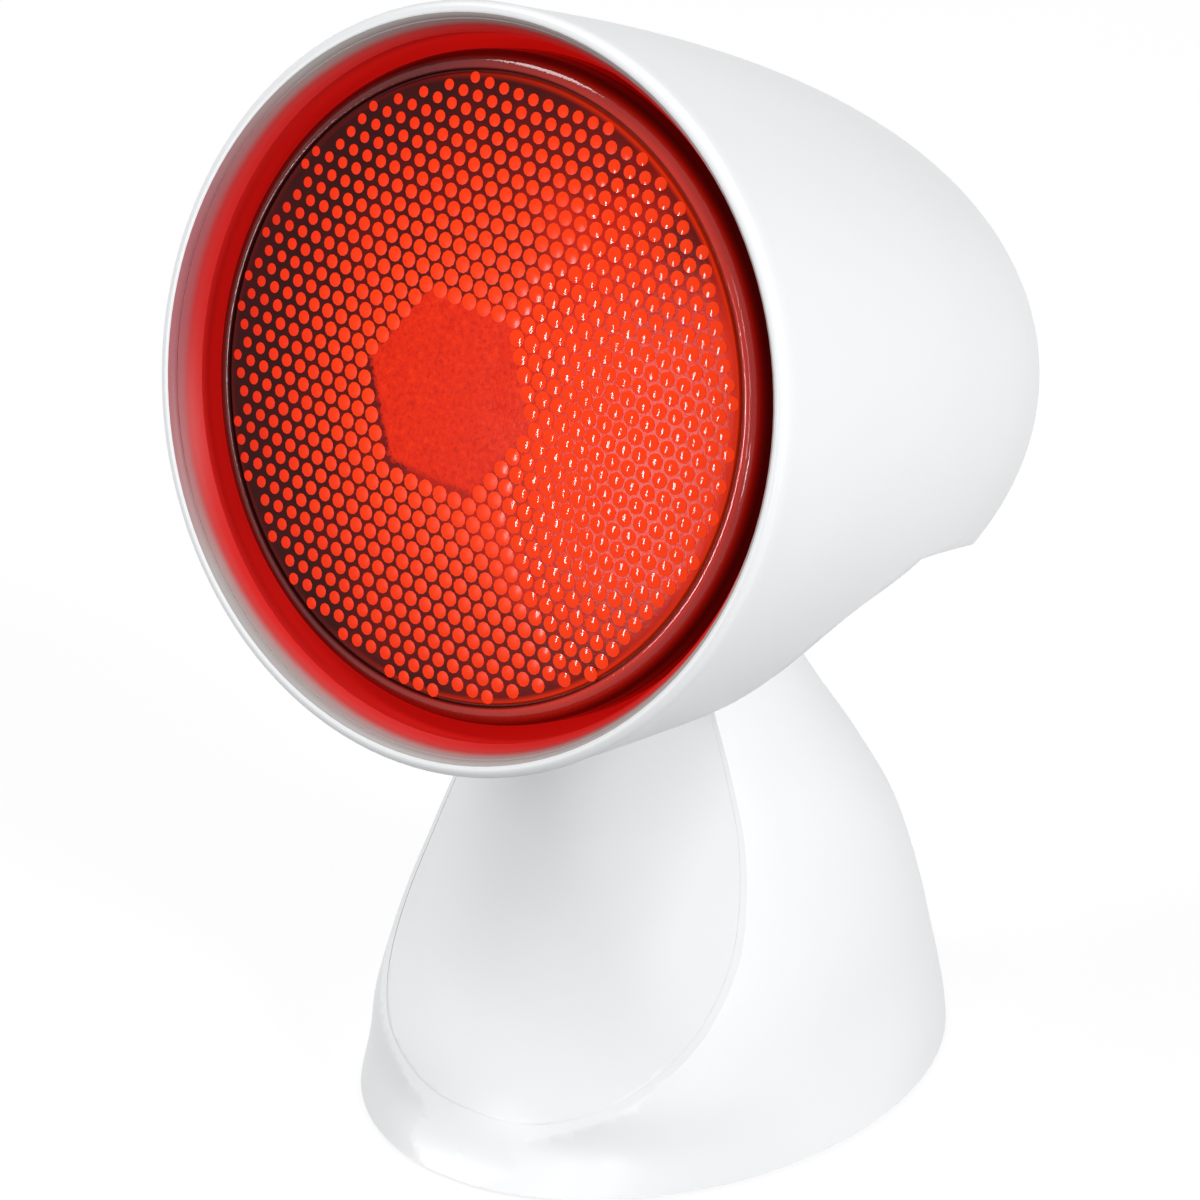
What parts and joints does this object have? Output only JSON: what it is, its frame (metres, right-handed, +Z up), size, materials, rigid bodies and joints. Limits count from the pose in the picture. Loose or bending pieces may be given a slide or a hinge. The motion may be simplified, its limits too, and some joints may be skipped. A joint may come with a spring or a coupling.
{
  "type": "infrared heat therapy lamp",
  "caption": "Table heat lamp: round dome head with a red pressed-glass infrared bulb, tilting on a bell-shaped foot.",
  "frame": {"origin": "under the middle of the object's box, on the plane that the foot pads stand on", "axes": "+Z up, -Y towards the side that the bulb faces, +X to the right for someone who looks at the bulb"},
  "size_m": [0.1396, 0.1715, 0.2263],
  "materials": {
    "white_plastic": "satin white moulded plastic",
    "grey_plastic": "fine-grained light grey plastic",
    "black_plastic": "matt black plastic",
    "rubber": "soft rubber",
    "steel": "zinc-plated steel",
    "aluminium": "bright spun aluminium",
    "brass": "nickel-pale brass",
    "red_glass": "ruby pressed glass",
    "dark_glass": "black glass",
    "clear_glass": "clear glass",
    "ceramic": "glazed ceramic",
    "tungsten": "dark coiled wire",
    "lead_sheath": "heat-proof sleeve"
  },
  "bodies": {
    "foot": {"base_shell": "white_plastic", "front_panel": "white_plastic", "base_plate": "grey_plastic", "base_screw_1": "steel", "base_screw_2": "steel", "base_screw_3": "steel", "base_screw_4": "steel", "foot_pad_1": "rubber", "foot_pad_2": "rubber", "foot_pad_3": "rubber", "foot_pad_4": "rubber", "counterweight": "steel", "weight_screw": "steel", "hinge_fork": "white_plastic", "fork_screw_left": "steel", "fork_screw_right": "steel", "pivot_bolt_left": "steel", "pivot_bolt_right": "steel", "friction_washer_left": "grey_plastic", "friction_washer_right": "grey_plastic", "detent_spring": "steel", "switch_housing": "black_plastic", "switch_terminal_lower": "brass", "switch_terminal_upper": "brass", "cord_gland": "grey_plastic", "gland_nut": "grey_plastic", "terminal_block": "grey_plastic", "terminal_screw_left": "steel", "terminal_screw_right": "steel", "base_lead_left": "lead_sheath", "base_lead_right": "lead_sheath", "switch_lead": "lead_sheath"},
    "rocker": {"switch_rocker": "black_plastic"},
    "head": {"shade_shell": "white_plastic", "shade_liner": "aluminium", "underside_cover": "grey_plastic", "cover_screw_left": "steel", "cover_screw_right": "steel", "hinge_knuckle": "white_plastic", "saddle_screw_left": "steel", "saddle_screw_right": "steel", "lampholder_bracket": "steel", "holder_screw_left": "steel", "holder_screw_right": "steel", "lampholder_body": "ceramic", "screw_shell": "brass", "centre_contact": "brass", "head_lead_left": "lead_sheath", "head_lead_right": "lead_sheath", "bulb_lens": "red_glass", "bulb_reflector": "red_glass", "bulb_collar": "aluminium", "bulb_cap": "brass", "cap_insulator": "dark_glass", "cap_contact": "brass", "bulb_stem": "clear_glass", "filament_post_left": "steel", "filament_post_right": "steel", "bulb_filament": "tungsten"}
  },
  "joints": [
    {"name": "head_tilt", "type": "hinge", "parent": "foot", "child": "head", "pos_m": [0, -0.0079, 0.0908], "axis": [1, 0, 0], "range_deg": [-20, 20]},
    {"name": "switch_rock", "type": "hinge", "parent": "foot", "child": "rocker", "pos_m": [0, 0.0411, 0.0338], "axis": [1, 0, 0], "range_deg": [-20, 0]}
  ]
}
